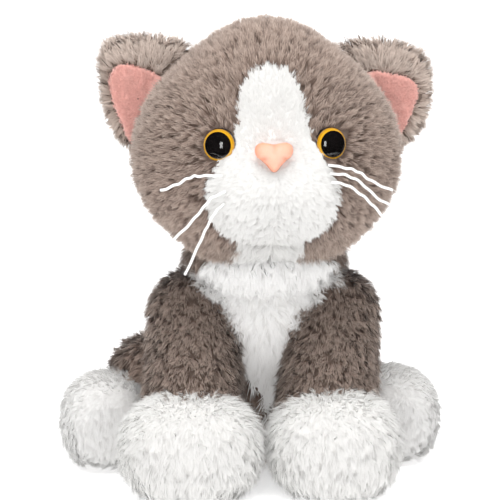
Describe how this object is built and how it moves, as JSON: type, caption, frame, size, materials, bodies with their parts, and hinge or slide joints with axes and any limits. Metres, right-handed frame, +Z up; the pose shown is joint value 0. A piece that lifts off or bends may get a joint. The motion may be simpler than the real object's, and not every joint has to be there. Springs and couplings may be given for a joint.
{
  "type": "plush cat",
  "caption": "Sitting plush cat in grey and white pile, with a big head, glossy eyes, a white face and chest, cord whiskers and soft legs that swing.",
  "frame": {"origin": "on the floor, at the middle of the base panel that the cat sits on", "axes": "+Z up from the floor to the top of the head; the cat looks along -Y, and +X is the cat's own left"},
  "size_m": [0.2022, 0.2203, 0.2364],
  "materials": {
    "grey_plush": "long soft pile, brown grey with lighter tips",
    "white_plush": "long soft pile, warm white",
    "ear_lining": "short velour, dusty pink",
    "stuffing": "loose polyester fibre",
    "pellet_bag": "thin cloth bag of plastic pellets",
    "eye_black": "moulded, polished black",
    "eye_amber": "amber paint under the lens",
    "eye_lens": "clear moulded dome, polished",
    "nose": "moulded, satin salmon pink",
    "lock_washer": "moulded, natural white",
    "whisker_cord": "stiff white cord"
  },
  "bodies": {
    "torso": {"body_left_panel": "grey_plush", "body_right_panel": "grey_plush", "chest_bib": "white_plush", "base_panel": "grey_plush", "body_stuffing": "stuffing", "pellet_bag": "pellet_bag"},
    "neck": {"neck_stuffing": "stuffing"},
    "head": {"head_left_panel": "grey_plush", "head_right_panel": "grey_plush", "face_blaze_panel": "white_plush", "head_stuffing": "stuffing", "nose": "nose", "nose_washer": "lock_washer", "left_ear_back": "grey_plush", "left_ear_lining": "ear_lining", "left_eye_body": "eye_black", "left_eye_iris": "eye_amber", "left_eye_lens": "eye_lens", "left_eye_washer": "lock_washer", "whisker_left_top": "whisker_cord", "whisker_left_middle": "whisker_cord", "whisker_left_low": "whisker_cord", "right_ear_back": "grey_plush", "right_ear_lining": "ear_lining", "right_eye_body": "eye_black", "right_eye_iris": "eye_amber", "right_eye_lens": "eye_lens", "right_eye_washer": "lock_washer", "whisker_right_top": "whisker_cord", "whisker_right_middle": "whisker_cord", "whisker_right_low": "whisker_cord"},
    "front_left_leg": {"front_left_sleeve": "grey_plush", "front_left_paw": "white_plush", "front_left_sole": "white_plush", "front_left_stuffing": "stuffing"},
    "hind_left_leg": {"hind_left_thigh": "grey_plush", "hind_left_foot": "white_plush", "hind_left_sole": "white_plush", "hind_left_stuffing": "stuffing"},
    "front_right_leg": {"front_right_sleeve": "grey_plush", "front_right_paw": "white_plush", "front_right_sole": "white_plush", "front_right_stuffing": "stuffing"},
    "hind_right_leg": {"hind_right_thigh": "grey_plush", "hind_right_foot": "white_plush", "hind_right_sole": "white_plush", "hind_right_stuffing": "stuffing"},
    "tail": {"tail_skin": "grey_plush", "tail_stuffing": "stuffing"}
  },
  "joints": [
    {"name": "head_turn", "type": "hinge", "parent": "torso", "child": "neck", "pos_m": [0, -0.002, 0.112], "axis": [0, 0, 1], "range_deg": [-20, 20], "stiffness_Nm_per_rad": 0.6},
    {"name": "head_nod", "type": "hinge", "parent": "neck", "child": "head", "pos_m": [0, -0.002, 0.112], "axis": [1, 0, 0], "range_deg": [-4, 3], "stiffness_Nm_per_rad": 1.2},
    {"name": "front_left_lift", "type": "hinge", "parent": "torso", "child": "front_left_leg", "pos_m": [-0.038, -0.012, 0.081], "axis": [-0.6198, 0.5599, -0.5499], "range_deg": [0, 22], "stiffness_Nm_per_rad": 0.35},
    {"name": "front_right_lift", "type": "hinge", "parent": "torso", "child": "front_right_leg", "pos_m": [0.036, -0.012, 0.081], "axis": [-0.6198, -0.5599, 0.5499], "range_deg": [0, 22], "stiffness_Nm_per_rad": 0.35},
    {"name": "hind_left_splay", "type": "hinge", "parent": "torso", "child": "hind_left_leg", "pos_m": [-0.046, 0.024, 0.04], "axis": [0, 0, -1], "range_deg": [0, 20], "stiffness_Nm_per_rad": 0.35},
    {"name": "hind_right_splay", "type": "hinge", "parent": "torso", "child": "hind_right_leg", "pos_m": [0.036, 0.024, 0.035], "axis": [0, 0, 1], "range_deg": [0, 20], "stiffness_Nm_per_rad": 0.35},
    {"name": "tail_sway", "type": "hinge", "parent": "torso", "child": "tail", "pos_m": [0, 0.062, 0.02], "axis": [0, 0, 1], "range_deg": [-15, 15], "stiffness_Nm_per_rad": 0.12}
  ]
}
